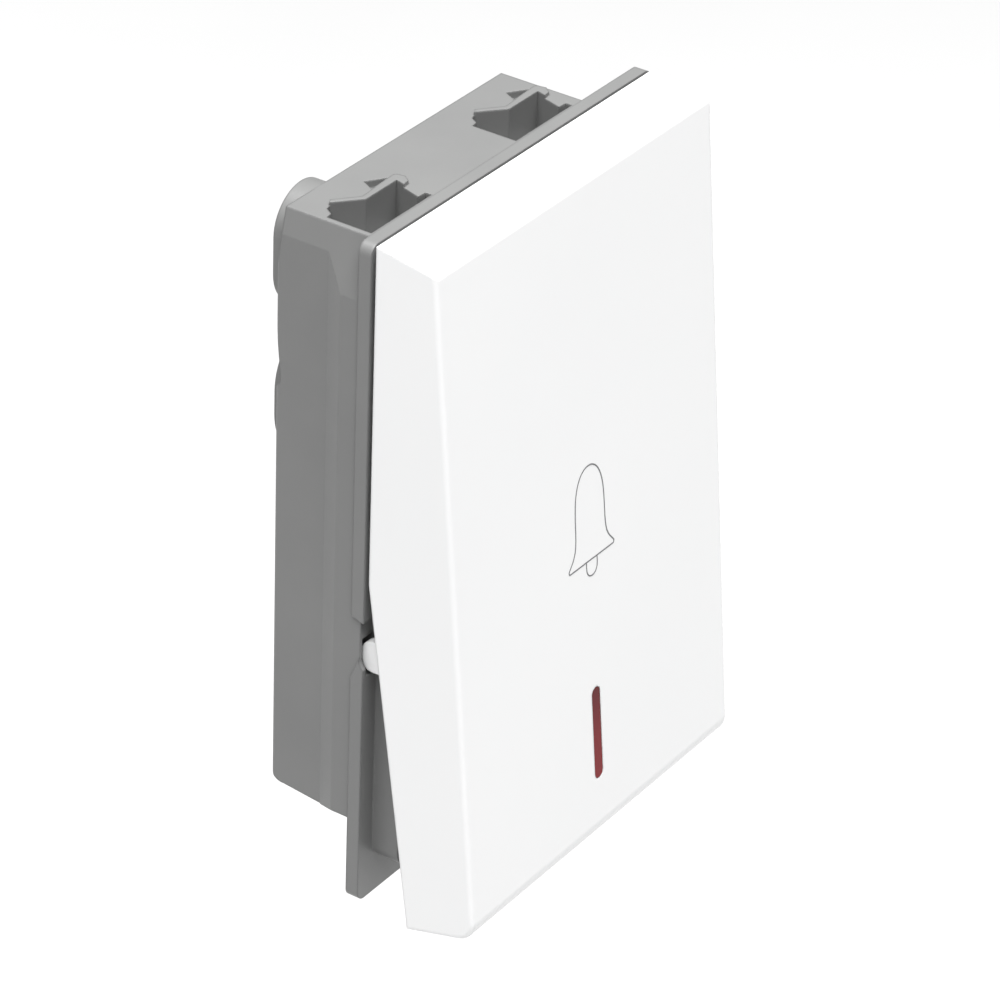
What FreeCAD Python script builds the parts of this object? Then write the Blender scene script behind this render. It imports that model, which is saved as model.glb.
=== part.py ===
import FreeCAD, Part
import Sketcher
import math
import os

# Doorbell push button: a two-module modular insert with a tilting key.
# Frame: origin at the centre of the flange's front plane, +X right,
# -Y towards the person who rings, +Z up, millimetres.

V = FreeCAD.Vector
doc = FreeCAD.newDocument("doorbell_push_button")
sheet = doc.addObject("Spreadsheet::Sheet", "dims")


class Q:
    """A length that knows its number and its spreadsheet expression."""

    def __init__(self, v, e):
        self.v = float(v)
        self.e = e

    @staticmethod
    def of(o):
        return o if isinstance(o, Q) else Q(o, repr(float(o)))

    def __add__(self, o):
        o = Q.of(o)
        return Q(self.v + o.v, "(%s + %s)" % (self.e, o.e))

    __radd__ = __add__

    def __sub__(self, o):
        o = Q.of(o)
        return Q(self.v - o.v, "(%s - %s)" % (self.e, o.e))

    def __rsub__(self, o):
        return Q.of(o) - self

    def __mul__(self, o):
        o = Q.of(o)
        return Q(self.v * o.v, "(%s * %s)" % (self.e, o.e))

    __rmul__ = __mul__

    def __truediv__(self, o):
        o = Q.of(o)
        return Q(self.v / o.v, "(%s / %s)" % (self.e, o.e))

    def __neg__(self):
        return Q(-self.v, "(-1 * %s)" % self.e)


rows = [0]


def size(alias, value, note):
    rows[0] += 1
    r = rows[0]
    sheet.set("A%d" % r, alias)
    sheet.set("B%d" % r, repr(float(value)))
    sheet.set("C%d" % r, note)
    sheet.setAlias("B%d" % r, alias)
    return Q(value, "dims." + alias)


# ------------------------------------------------------------ driving sizes
fl_w = size("flange_width", 45.0, "two 22.5 mm modules")
fl_h = size("flange_height", 71.0, "front height")
fl_t = size("flange_thickness", 1.4, "flange plate")
fl_r = size("flange_corner", 1.1, "flange corner radius")
depth = size("body_depth", 10.6, "flange front to rear edge of the walls")
rim_y = size("rim_rear", 11.15, "rear edge of the rims along the side walls")
top_z = size("body_top", 35.4, "half height of the body block")
side_rear = size("side_rear", 21.45, "half width of the rear part of the side walls")
side_front = size("side_front", 22.3, "half width of the side walls behind the flange")
hip_x = size("hip_x", 20.8, "half width at the top of the leaning upper side")
hip_rear = size("hip_rear_z", 32.85, "leaning side ends here on the rear wall")
hip_front = size("hip_front_z", 29.5, "leaning side ends here on the front wall")
ramp_a = size("ramp_front", 3.45, "side wall ramp, front end")
ramp_b = size("ramp_rear", 5.4, "side wall ramp, rear end")
notch_z = size("corner_notch_z", 26.3, "cut-away corners of the body, height at the front")
notch_r = size("corner_notch_rear_z", 26.84, "cut-away corners, height behind the ramp")
notch_e = size("corner_notch_end_z", 26.3, "cut-away corners, height at the rear edge")
notch_t = size("corner_notch_top_x", 12.9, "cut-away corner, upper right")
notch_b = size("corner_notch_bottom_x", 11.6, "cut-away corner, lower left")
corner_r = size("corner_radius", 1.3, "rear corners beside the cut-away corners")
rear_r = size("rear_edge_radius", 0.4, "rounding of the rear edges of the sides")

ring_x = size("ring_half_width", 20.3, "raised front ring, outside")
ring_z = size("ring_half_height", 31.5, "raised front ring, outside")
ring_f = size("ring_height", 3.0, "raised front ring, height before the flange")
ring_iz = size("ring_inner_half_height", 30.2, "raised front ring, inside")
well_x = size("well_half_width", 19.0, "front well")
well_z = size("well_half_height", 24.8, "front well")
deck_a = size("deck_front", 2.4, "front of the deck")
deck_b = size("deck_rear", 3.6, "rear of the deck")
cham_x = size("chamber_half_width", 19.9, "rear chamber")
cham_z = size("chamber_long_z", 29.8, "rear chamber, long corners")
cham_s = size("chamber_short_z", 24.8, "rear chamber, short corners")
cham_t = size("chamber_notch_top_x", 11.0, "rear chamber beside the upper notch")
cham_b = size("chamber_notch_bottom_x", 10.1, "rear chamber beside the lower notch")

rec_d = size("catch_depth", 3.9, "depth of the catch recesses")
rec_s1 = size("catch_pitch_top", 22.55, "pitch of the upper catch recesses")
rec_s2 = size("catch_pitch_bottom", 21.3, "pitch of the lower catch recesses")
bar_h = size("catch_bar_height", 0.35, "raised bar behind a catch recess")

term_ox = size("outer_terminal_x", 16.0, "outer terminals")
term_oz = size("outer_terminal_z", 27.5, "outer terminals")
term_ix = size("inner_terminal_x", 13.6, "inner terminals")
term_iz = size("inner_terminal_z", 12.05, "inner terminals")
tower_r = size("tower_radius", 4.1, "outer terminal tower")
tower_s = size("tower_length", 3.78, "outer terminal tower, centre to centre")
tower_y = size("tower_end", 12.5, "rear end of the terminal towers")
pot_r = size("tower_bore", 3.2, "outer terminal tower, inside")
boss_r = size("boss_radius", 6.1, "inner terminal boss")
boss_i = size("boss_bore", 4.7, "inner terminal boss, inside")
boss_lo = size("boss_low_z", 12.8, "inner terminal boss, lower centre")
boss_hi = size("boss_high_z", 15.2, "inner terminal boss, upper centre")

cov_a = size("cover_front", 7.4, "front face of the rear cover")
cov_b = size("cover_rear", 8.8, "rear face of the rear cover")
gap_c = size("cover_gap", 0.15, "gap around the rear cover")
scr_x = size("cover_screw_x", 15.5, "cover screws")
scr_z = size("cover_screw_z", 19.5, "cover screws")

hinge_y = size("hinge_y", 0.5, "hinge axis behind the flange's front plane")
tilt = size("rest_tilt", 5.4, "tilt of the key's face at rest, degrees")
trun_r = size("trunnion_radius", 1.2, "carrier trunnions")
bear_r = size("bearing_radius", 1.25, "bearing bores")
throat = size("bearing_throat", 1.05, "half width of the snap-in throat")

key_x = size("key_half_width", 22.35, "key, outside")
key_w = size("key_wall", 1.5, "key side walls")
key_f = size("key_face", 10.53, "key face in front of the hinge axis")
key_i = size("key_face_inside", 8.8, "inside of the key face")
key_r = size("key_edge_radius", 0.45, "rounding round the key face")
key_rb = size("key_bottom_radius", 2.2, "rounding at the lower edge of the face")

slot_r = size("slot_radius", 0.715, "indicator slot")
slot_a = size("slot_top_z", 19.47, "indicator slot, upper centre below the axis")
slot_b = size("slot_bottom_z", 28.23, "indicator slot, lower centre below the axis")
slot_x = size("slot_x", 0.46, "indicator slot, distance to the left of the middle")
lens_g = size("lens_gap", 0.05, "gap round the indicator lens")

car_a = size("carrier_front", 6.5, "carrier plate, front face")
car_b = size("carrier_rear", 5.0, "carrier plate, rear face")
car_x = size("carrier_half_width", 17.5, "carrier plate")

spr_x = size("return_spring_x", 10.0, "return springs")
spr_z = size("plunger_z", 9.0, "plunger and return springs below the axis")
plg_r = size("plunger_radius", 1.8, "plunger stem")
gui_r = size("guide_radius", 1.85, "plunger guide")
str_a = size("strip_front", 6.7, "contact strips, front face")
str_b = size("strip_rear", 7.4, "contact strips, rear face")
tip_x = size("tip_x", 4.2, "contact tips")
tip_r = size("tip_radius", 1.1, "contact tips")

shank_r = size("screw_shank", 1.45, "terminal screw")
head_r = size("screw_head", 2.8, "terminal screw head")
nut_w = size("nut_width", 5.5, "square nut")
wash_r = size("washer_radius", 2.9, "clamp washer")

doc.recompute()

PARTS = []


# ---------------------------------------------------------------- helpers
def body(label):
    b = doc.addObject("PartDesign::Body", label)
    b.Label = label
    return b


def sketch(b, name, role, offset):
    offset = Q.of(offset)
    sk = b.newObject("Sketcher::SketchObject", name)
    origin_plane = [o for o in b.Origin.OriginFeatures if o.Role == role][0]
    sk.AttachmentSupport = [(origin_plane, "")]
    sk.MapMode = "FlatFace"
    sk.AttachmentOffset = FreeCAD.Placement(V(0, 0, offset.v), FreeCAD.Rotation())
    sk.setExpression("AttachmentOffset.Base.z", offset.e)
    return sk


def bind(sk, cons):
    """Adds constraints given as (args, Q or None) and binds the sized ones."""
    first = sk.ConstraintCount
    sk.addConstraint([Sketcher.Constraint(*a) for a, q in cons])
    for i, (a, q) in enumerate(cons):
        if q is not None:
            nm = "size_%d" % (first + i)
            sk.renameConstraint(first + i, nm)
            sk.setExpression("Constraints." + nm, q.e)


def poly(sk, pts):
    """Closed outline; a point given as (a, c, r, sa, sc) is a square corner
    rounded with radius r, the arc's centre lying towards (sa, sc)."""
    n = len(pts)
    ends, geo, cons = [], [], []
    g = sk.GeometryCount
    for p in pts:
        a, c = Q.of(p[0]), Q.of(p[1])
        if len(p) == 2:
            ends.append((a, c, None))
        else:
            r = Q.of(p[2])
            ends.append((a, c, (r, a + r * p[3], c + r * p[4])))

    def corner_point(i, other):
        a, c, rd = ends[i]
        if rd is None:
            return V(a.v, c.v, 0)
        da, dc = ends[other][0].v - a.v, ends[other][1].v - c.v
        k = rd[0].v / math.hypot(da, dc)
        return V(a.v + da * k, c.v + dc * k, 0)

    for i in range(n):
        j = (i + 1) % n
        geo.append(Part.LineSegment(corner_point(i, j), corner_point(j, i)))
    arcs = {}
    for i in range(n):
        if ends[i][2] is None:
            continue
        r, ca, cc = ends[i][2]
        p0, p1 = corner_point(i, (i - 1) % n), corner_point(i, (i + 1) % n)
        t0 = math.degrees(math.atan2(p0.y - cc.v, p0.x - ca.v))
        t1 = math.degrees(math.atan2(p1.y - cc.v, p1.x - ca.v))
        turn = (t1 - t0) % 360
        ccw = turn < 180
        arcs[i] = (g + len(geo), ccw)
        geo.append(arc(ca.v, cc.v, r.v, t0, t0 + turn) if ccw
                   else arc(ca.v, cc.v, r.v, t1, t1 + (360 - turn)))
    sk.addGeometry(geo, False)
    for i in range(n):
        prev, line = g + (i - 1) % n, g + i
        if i in arcs:
            k, ccw = arcs[i]
            cons.append((("Tangent", prev, 2, k, 1 if ccw else 2), None))
            cons.append((("Tangent", k, 2 if ccw else 1, line, 1), None))
            r, ca, cc = ends[i][2]
            cons.append((("Radius", k, r.v), r))
            cons.append((("DistanceX", -1, 1, k, 3, ca.v), ca))
            cons.append((("DistanceY", -1, 1, k, 3, cc.v), cc))
        else:
            cons.append((("Coincident", prev, 2, line, 1), None))
            a, c = ends[i][0], ends[i][1]
            cons.append((("DistanceX", -1, 1, line, 1, a.v), a))
            cons.append((("DistanceY", -1, 1, line, 1, c.v), c))
    bind(sk, cons)


def rect(sk, a0, c0, a1, c1):
    poly(sk, [(a0, c0), (a1, c0), (a1, c1), (a0, c1)])


def circ(sk, a, c, r):
    a, c, r = Q.of(a), Q.of(c), Q.of(r)
    g = sk.GeometryCount
    sk.addGeometry(Part.Circle(V(a.v, c.v, 0), V(0, 0, 1), r.v), False)
    bind(
        sk,
        [
            (("DistanceX", -1, 1, g, 3, a.v), a),
            (("DistanceY", -1, 1, g, 3, c.v), c),
            (("Radius", g, r.v), r),
        ],
    )


def arc(a, c, r, t0, t1):
    return Part.ArcOfCircle(
        Part.Circle(V(a, c, 0), V(0, 0, 1), r), math.radians(t0), math.radians(t1)
    )


def rounded(sk, a0, c0, a1, c1, r):
    """Rectangle with round corners; with a1 - a0 = 2 r it is an obround."""
    a0, c0, a1, c1, r = [Q.of(k) for k in (a0, c0, a1, c1, r)]
    g = sk.GeometryCount
    xa, xb = a0.v + r.v, a1.v - r.v
    ya, yb = c0.v + r.v, c1.v - r.v
    sk.addGeometry(
        [
            Part.LineSegment(V(xa, c0.v, 0), V(xb, c0.v, 0)),
            arc(xb, ya, r.v, 270, 360),
            Part.LineSegment(V(a1.v, ya, 0), V(a1.v, yb, 0)),
            arc(xb, yb, r.v, 0, 90),
            Part.LineSegment(V(xb, c1.v, 0), V(xa, c1.v, 0)),
            arc(xa, yb, r.v, 90, 180),
            Part.LineSegment(V(a0.v, yb, 0), V(a0.v, ya, 0)),
            arc(xa, ya, r.v, 180, 270),
        ],
        False,
    )
    cons = [
        (("Tangent", g + 0, 2, g + 1, 1), None),
        (("Tangent", g + 1, 2, g + 2, 1), None),
        (("Tangent", g + 2, 2, g + 3, 1), None),
        (("Tangent", g + 3, 2, g + 4, 1), None),
        (("Tangent", g + 4, 2, g + 5, 1), None),
        (("Tangent", g + 5, 2, g + 6, 1), None),
        (("Tangent", g + 6, 2, g + 7, 1), None),
        (("Tangent", g + 7, 2, g + 0, 1), None),
        (("Horizontal", g + 0), None),
        (("Vertical", g + 2), None),
        (("Horizontal", g + 4), None),
        (("Vertical", g + 6), None),
        (("Radius", g + 1, r.v), r),
        (("Equal", g + 1, g + 3), None),
        (("Equal", g + 1, g + 5), None),
        (("DistanceY", -1, 1, g + 0, 1, c0.v), c0),
        (("DistanceX", -1, 1, g + 2, 1, a1.v), a1),
        (("DistanceY", -1, 1, g + 4, 1, c1.v), c1),
        (("DistanceX", -1, 1, g + 6, 1, a0.v), a0),
    ]
    bind(sk, cons)


def slot(sk, a, c0, c1, r):
    """Upright slot: two half circles on x = a with centres at c0 < c1."""
    a, c0, c1, r = [Q.of(k) for k in (a, c0, c1, r)]
    g = sk.GeometryCount
    sk.addGeometry(
        [
            arc(a.v, c1.v, r.v, 0, 180),
            Part.LineSegment(V(a.v - r.v, c1.v, 0), V(a.v - r.v, c0.v, 0)),
            arc(a.v, c0.v, r.v, 180, 360),
            Part.LineSegment(V(a.v + r.v, c0.v, 0), V(a.v + r.v, c1.v, 0)),
        ],
        False,
    )
    bind(
        sk,
        [
            (("Tangent", g + 0, 2, g + 1, 1), None),
            (("Tangent", g + 1, 2, g + 2, 1), None),
            (("Tangent", g + 2, 2, g + 3, 1), None),
            (("Tangent", g + 3, 2, g + 0, 1), None),
            (("Equal", g + 0, g + 2), None),
            (("Radius", g + 0, r.v), r),
            (("DistanceX", -1, 1, g + 0, 3, a.v), a),
            (("DistanceY", -1, 1, g + 0, 3, c1.v), c1),
            (("DistanceX", -1, 1, g + 2, 3, a.v), a),
            (("DistanceY", -1, 1, g + 2, 3, c0.v), c0),
        ],
    )


def flat_slot(sk, a0, a1, c, r):
    """Level slot: centres at (a0, c) and (a1, c)."""
    a0, a1, c, r = [Q.of(k) for k in (a0, a1, c, r)]
    g = sk.GeometryCount
    sk.addGeometry(
        [
            arc(a1.v, c.v, r.v, -90, 90),
            Part.LineSegment(V(a1.v, c.v + r.v, 0), V(a0.v, c.v + r.v, 0)),
            arc(a0.v, c.v, r.v, 90, 270),
            Part.LineSegment(V(a0.v, c.v - r.v, 0), V(a1.v, c.v - r.v, 0)),
        ],
        False,
    )
    bind(
        sk,
        [
            (("Tangent", g + 0, 2, g + 1, 1), None),
            (("Tangent", g + 1, 2, g + 2, 1), None),
            (("Tangent", g + 2, 2, g + 3, 1), None),
            (("Tangent", g + 3, 2, g + 0, 1), None),
            (("Equal", g + 0, g + 2), None),
            (("Radius", g + 0, r.v), r),
            (("DistanceX", -1, 1, g + 0, 3, a1.v), a1),
            (("DistanceY", -1, 1, g + 0, 3, c.v), c),
            (("DistanceX", -1, 1, g + 2, 3, a0.v), a0),
            (("DistanceY", -1, 1, g + 2, 3, c.v), c),
        ],
    )


ROLE = {"xz": "XZ_Plane", "yz": "YZ_Plane", "xy": "XY_Plane"}


def volume(b):
    return b.Shape.Volume if b.Tip is not None and not b.Shape.isNull() else 0.0


def sound(b, name):
    if b.Tip.Shape.isNull() or not b.Tip.Shape.isValid():
        raise RuntimeError("step %s left no valid shape" % name)


def add(b, name, where, lo, hi, draw):
    """Pads the drawn profile from lo to hi along the plane's axis."""
    lo, hi = Q.of(lo), Q.of(hi)
    off = -hi if where == "xz" else lo
    sk = sketch(b, name + "_profile", ROLE[where], off)
    draw(sk)
    f = b.newObject("PartDesign::Pad", name)
    f.Profile = sk
    f.Length = hi.v - lo.v
    f.setExpression("Length", (hi - lo).e)
    doc.recompute()
    sound(b, name)
    return f


def cut(b, name, where, lo, hi, draw):
    """Pockets the drawn profile from lo to hi along the plane's axis."""
    lo, hi = Q.of(lo), Q.of(hi)
    before = volume(b)
    off = -lo if where == "xz" else hi
    sk = sketch(b, name + "_profile", ROLE[where], off)
    draw(sk)
    f = b.newObject("PartDesign::Pocket", name)
    f.Profile = sk
    f.Length = hi.v - lo.v
    f.setExpression("Length", (hi - lo).e)
    doc.recompute()
    if volume(b) > before - 1e-4:
        raise RuntimeError("pocket %s removed nothing (%s, %.4f, %.4f)" % (
            name, f.State, before, volume(b)))
    sound(b, name)
    return f


def pick(b, test):
    out = []
    for i, e in enumerate(b.Tip.Shape.Edges):
        p, q = e.Vertexes[0].Point, e.Vertexes[-1].Point
        if test(p, q, e):
            out.append("Edge%d" % (i + 1))
    return out


def blend(b, name, r, test, kind="Fillet"):
    r = Q.of(r)
    names = pick(b, test)
    if not names:
        raise RuntimeError("no edge for " + name)
    f = b.newObject("PartDesign::" + kind, name)
    f.Base = (b.getObject(f.BaseFeature.Name) if f.BaseFeature else b.Tip, names)
    if kind == "Fillet":
        f.Radius = r.v
        f.setExpression("Radius", r.e)
    else:
        f.Size = r.v
        f.setExpression("Size", r.e)
    doc.recompute()
    sound(b, name)
    return f


def near(a, c, t=0.02):
    return abs(a - c) < t


def place(o, x, y, z):
    x, y, z = Q.of(x), Q.of(y), Q.of(z)
    pl = FreeCAD.Placement(V(x.v, y.v, z.v), o.Placement.Rotation)
    o.Placement = pl
    o.setExpression("Placement.Base.x", x.e)
    o.setExpression("Placement.Base.y", y.e)
    o.setExpression("Placement.Base.z", z.e)


def box(name, x0, x1, y0, y1, z0, z1):
    x0, x1, y0, y1, z0, z1 = [Q.of(k) for k in (x0, x1, y0, y1, z0, z1)]
    o = doc.addObject("Part::Box", name)
    for prop, q in (("Length", x1 - x0), ("Width", y1 - y0), ("Height", z1 - z0)):
        setattr(o, prop, q.v)
        o.setExpression(prop, q.e)
    place(o, x0, y0, z0)
    return o


def rod_y(name, x, z, y0, y1, r):
    x, z, y0, y1, r = [Q.of(k) for k in (x, z, y0, y1, r)]
    o = doc.addObject("Part::Cylinder", name)
    o.Radius = r.v
    o.setExpression("Radius", r.e)
    o.Height = y1.v - y0.v
    o.setExpression("Height", (y1 - y0).e)
    o.Placement = FreeCAD.Placement(V(0, 0, 0), FreeCAD.Rotation(V(1, 0, 0), -90))
    place(o, x, y0, z)
    return o


def rod_z(name, x, y, z0, z1, r):
    x, y, z0, z1, r = [Q.of(k) for k in (x, y, z0, z1, r)]
    o = doc.addObject("Part::Cylinder", name)
    o.Radius = r.v
    o.setExpression("Radius", r.e)
    o.Height = z1.v - z0.v
    o.setExpression("Height", (z1 - z0).e)
    place(o, x, y, z0)
    return o


def ball(name, x, y, z, r):
    x, y, z, r = [Q.of(k) for k in (x, y, z, r)]
    o = doc.addObject("Part::Sphere", name)
    o.Radius = r.v
    o.setExpression("Radius", r.e)
    place(o, x, y, z)
    return o


def fuse(name, objs):
    o = doc.addObject("Part::MultiFuse", name)
    o.Shapes = objs
    return o


def minus(name, base, tool):
    o = doc.addObject("Part::Cut", name)
    o.Base = base
    o.Tool = tool
    return o


def group(label, objs):
    o = doc.addObject("Part::Compound", label)
    o.Label = label
    o.Links = objs
    PARTS.append(o)
    return o


def keep(o, label):
    o.Label = label
    PARTS.append(o)
    return o


# ------------------------------------------------------------- body frame
fr = body("body_frame")
add(fr, "flange", "xz", 0, fl_t,
    lambda s: rounded(s, -fl_w / 2, -fl_h / 2, fl_w / 2, fl_h / 2, fl_r))

# raised ring on the front
add(fr, "front_ring", "xz", -ring_f, 0.5,
    lambda s: rounded(s, -ring_x, -ring_z, ring_x, ring_z, 1.5))
cut(fr, "ring_inside", "xz", -ring_f - 0.1, 0,
    lambda s: rounded(s, -well_x, -ring_iz, well_x, ring_iz, 0.8))


def outline(s, side, hip, notch):
    poly(s, [
        (-hip_x, top_z), (-side, hip), (-side, -notch), (-notch_b, -notch),
        (-notch_b, -top_z), (hip_x, -top_z), (side, -hip), (side, notch),
        (notch_t, notch), (notch_t, top_z),
    ])


add(fr, "front_wall", "xz", fl_t - 0.4, ramp_a,
    lambda s: outline(s, side_front, hip_front, notch_z))
sk_a = sketch(fr, "ramp_front_profile", "XZ_Plane", -ramp_a)
outline(sk_a, side_front, hip_front, notch_z)
sk_b = sketch(fr, "ramp_rear_profile", "XZ_Plane", -ramp_b)
outline(sk_b, side_rear, hip_rear, notch_r)
ramp = fr.newObject("PartDesign::AdditiveLoft", "side_ramp")
ramp.Profile = sk_a
ramp.Sections = [sk_b]
ramp.Ruled = True
doc.recompute()
add(fr, "rear_wall", "xz", ramp_b, depth, lambda s: outline(s, side_rear, hip_rear, notch_r))
add(fr, "side_rims", "xz", depth - 0.3, rim_y, lambda s: (
    poly(s, [(-side_rear, hip_rear), (-side_rear, -notch_r), (-notch_b, -notch_r),
             (-notch_b, -cham_s), (-cham_x, -cham_s), (-cham_x, hip_rear)]),
    poly(s, [(side_rear, -hip_rear), (side_rear, notch_r), (notch_t, notch_r),
             (notch_t, cham_s), (cham_x, cham_s), (cham_x, -hip_rear)])))

# sloping ends of the rims
def rim_end(s, sg):
    poly(s, [
        (depth - 0.02, 33.4 * sg), (depth + 0.02, 32.7 * sg), (rim_y - 0.01, 28.4 * sg),
        (rim_y + 0.2, 28.0 * sg), (rim_y + 0.2, 33.4 * sg)])


cut(fr, "rim_end_left", "yz", -22.0, -cham_x, lambda s: rim_end(s, 1))
cut(fr, "rim_end_right", "yz", cham_x, 22.0, lambda s: rim_end(s, -1))


# drafted faces and rounded rear corners beside the cut-away corners
def draft(s, sg):
    poly(s, [
        (5.0, 26.8 * sg), (9.7, notch_e * sg), (rim_y, notch_e * sg, corner_r, -1, -sg),
        (rim_y, 24.9 * sg), (rim_y + 0.4, 24.9 * sg), (rim_y + 0.4, 27.3 * sg),
        (5.0, 27.3 * sg)])


cut(fr, "draft_lower_left", "yz", -21.6, -notch_b, lambda s: draft(s, -1))
cut(fr, "draft_upper_right", "yz", notch_t, 21.6, lambda s: draft(s, 1))


def rear_edge(s, sg):
    poly(s, [
        (side_rear * sg, rim_y - 0.7), (side_rear * sg, rim_y, rear_r, -sg, -1),
        ((side_rear - 0.7) * sg, rim_y), ((side_rear - 0.7) * sg, rim_y + 0.4),
        ((side_rear + 0.3) * sg, rim_y + 0.4), ((side_rear + 0.3) * sg, rim_y - 0.7)])


cut(fr, "rear_rounding_left", "xy", -27.5, 34.0, lambda s: rear_edge(s, -1))
cut(fr, "rear_rounding_right", "xy", -34.0, 27.5, lambda s: rear_edge(s, 1))

# front well and lamp bay
cut(fr, "front_well", "xz", -0.1, deck_a,
    lambda s: rect(s, -well_x, -well_z, well_x, well_z))
cut(fr, "lamp_bay", "xz", -0.1, deck_a, lambda s: rect(s, -6.5, -29.4, 6.5, -24.5))

# rear chamber
cut(fr, "rear_chamber", "xz", deck_b, depth + 0.2, lambda s: poly(s, [
    (-cham_x, cham_z), (cham_t, cham_z), (cham_t, cham_s), (cham_x, cham_s),
    (cham_x, -cham_z), (-cham_b, -cham_z), (-cham_b, -cham_s), (-cham_x, -cham_s)]))

# outer terminal towers with their pots, nut seats and nut pockets
add(fr, "towers", "xz", cov_a, tower_y, lambda s: (
    slot(s, -term_ox, term_oz, term_oz + tower_s, tower_r),
    slot(s, term_ox, -term_oz - tower_s, -term_oz, tower_r)))
cut(fr, "tower_pots", "xz", 8.6, tower_y + 0.2, lambda s: (
    slot(s, -term_ox, term_oz, term_oz + tower_s, pot_r),
    slot(s, term_ox, -term_oz - tower_s, -term_oz, pot_r)))
cut(fr, "tower_pot_floor", "xz", cov_a - 0.1, 8.7, lambda s: (
    circ(s, -term_ox, term_oz, pot_r - 0.1), circ(s, term_ox, -term_oz, pot_r - 0.1)))


def seat(s, x, z, w):
    rect(s, x - w, z - w, x + w, z + w)


add(fr, "nut_seats", "xz", deck_b - 0.1, 4.6, lambda s: (
    seat(s, -term_ox, term_oz - 0.1, Q.of(2.9)), seat(s, -term_ix, term_iz, Q.of(2.9)),
    seat(s, term_ix, -term_iz, Q.of(2.9)), seat(s, term_ox, -term_oz + 0.1, Q.of(2.9))))
cut(fr, "nut_pockets", "xz", 4.6, cov_a + 0.05, lambda s: (
    rect(s, -term_ox - 3.0, term_oz - 3.0, -term_ox + 3.0, term_oz + 2.9),
    rect(s, term_ox - 3.0, -term_oz - 2.9, term_ox + 3.0, -term_oz + 3.0)))

# posts for the cover screws and rests for the contact strips
add(fr, "screw_posts", "xz", deck_b - 0.1, cov_a, lambda s: (
    circ(s, -scr_x, -scr_z, 2.4), circ(s, scr_x, scr_z, 2.4)))
cut(fr, "pilot_holes", "xz", 4.4, cov_a + 0.1, lambda s: (
    circ(s, -scr_x, -scr_z, 0.85), circ(s, scr_x, scr_z, 0.85)))
add(fr, "strip_rests", "xz", deck_b - 0.1, str_a - 0.02, lambda s: (
    circ(s, -14.4, 0, 1.2), circ(s, -8.2, -19.0, 1.2),
    circ(s, 17.4, -21.0, 1.2), circ(s, 8.6, -26.5, 1.2)))

# plunger guide, spring cups and lamp spring holes in the deck
add(fr, "guide_collar", "xz", 0.4, deck_a + 0.1, lambda s: circ(s, 0, -spr_z, 3.0))
cut(fr, "guide_bore", "xz", 0.3, deck_b + 0.1, lambda s: circ(s, 0, -spr_z, gui_r))
add(fr, "spring_cups", "xz", 0.9, deck_a + 0.1, lambda s: (
    circ(s, -spr_x, -spr_z, 3.7), circ(s, spr_x, -spr_z, 3.7)))
cut(fr, "spring_cup_bores", "xz", 0.8, deck_a, lambda s: (
    circ(s, -spr_x, -spr_z, 2.9), circ(s, spr_x, -spr_z, 2.9)))
cut(fr, "lamp_spring_holes", "xz", deck_a - 0.1, deck_b + 0.1, lambda s: (
    circ(s, -4.5, -26.5, 1.5), circ(s, 4.5, -26.5, 1.5)))

# snap-in bearings for the trunnions
cut(fr, "bearing_right", "yz", well_x - 0.1, 20.95, lambda s: circ(s, hinge_y, 0, bear_r))
cut(fr, "bearing_left", "yz", -20.95, -well_x + 0.1, lambda s: circ(s, hinge_y, 0, bear_r))
cut(fr, "throat_right", "yz", well_x - 0.1, 20.95,
    lambda s: rect(s, -ring_f - 0.1, -throat, hinge_y, throat))
cut(fr, "throat_left", "yz", -20.95, -well_x + 0.1,
    lambda s: rect(s, -ring_f - 0.1, -throat, hinge_y, throat))

# shallow rim notches and inner pockets for the key's side lugs
def lug_notch(s):
    poly(s, [(-0.1, -3.9), (0.45, -3.75), (0.45, -8.3), (0.0, -9.1), (-0.1, -9.28)])


def edge_cut(s):
    poly(s, [(0.35, -3.78), (1.5, -3.45), (1.5, -10.3), (1.08, -9.43), (0.45, -7.9),
             (0.35, -7.7)])


cut(fr, "lug_notch_left", "yz", -22.7, -20.45, lug_notch)
cut(fr, "lug_notch_right", "yz", 20.45, 22.7, lug_notch)
cut(fr, "lug_edge_left", "yz", -22.7, -side_front, edge_cut)
cut(fr, "lug_edge_right", "yz", side_front, 22.7, edge_cut)
cut(fr, "lug_pockets", "xz", -0.1, deck_a, lambda s: (
    rect(s, -21.95, -10.0, -20.45, -5.95), rect(s, 20.45, -10.0, 21.95, -5.95)))


def dip(s, sg):
    poly(s, [(rim_y + 0.3, 25.4 * sg), (rim_y, 25.0 * sg), (rim_y - 0.22, 22.0 * sg),
             (rim_y - 0.6, 18.4 * sg), (rim_y - 0.58, 17.6 * sg), (rim_y, 16.9 * sg),
             (rim_y + 0.3, 16.8 * sg)])


# shallow dips in the rear edges of the side walls
cut(fr, "dip_left", "yz", -22.0, -cham_x, lambda s: dip(s, 1))
cut(fr, "dip_right", "yz", cham_x, 22.0, lambda s: dip(s, -1))

# cored-out spaces between the catch recesses
cut(fr, "coring", "xz", 3.2, depth + 0.2, lambda s: (
    rect(s, -9.6, 31.2, 0.9, 34.0), rect(s, 0.4, -34.0, 9.6, -31.2)))


# catch recesses; x is measured from the recess's outer end, sg mirrors both axes
def catch(s, x0, sg):
    pts = [(0, 1.65), (9.2, 1.65), (9.2, 2.3), (8.15, 2.4), (9.05, 5.4), (4.45, 5.4),
           (1.85, 7.6), (1.25, 7.4), (0.75, 6.6), (0, 6.5)]
    poly(s, [((x0 + a) if sg > 0 else -(x0 + a), c) for a, c in pts])


def catch_wedge(s, x0, sg):
    pts = [(6.6, 6.15), (9.9, 6.3), (7.5, 7.9)]
    poly(s, [((x0 + a) if sg > 0 else -(x0 + a), c) for a, c in pts])


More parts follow.
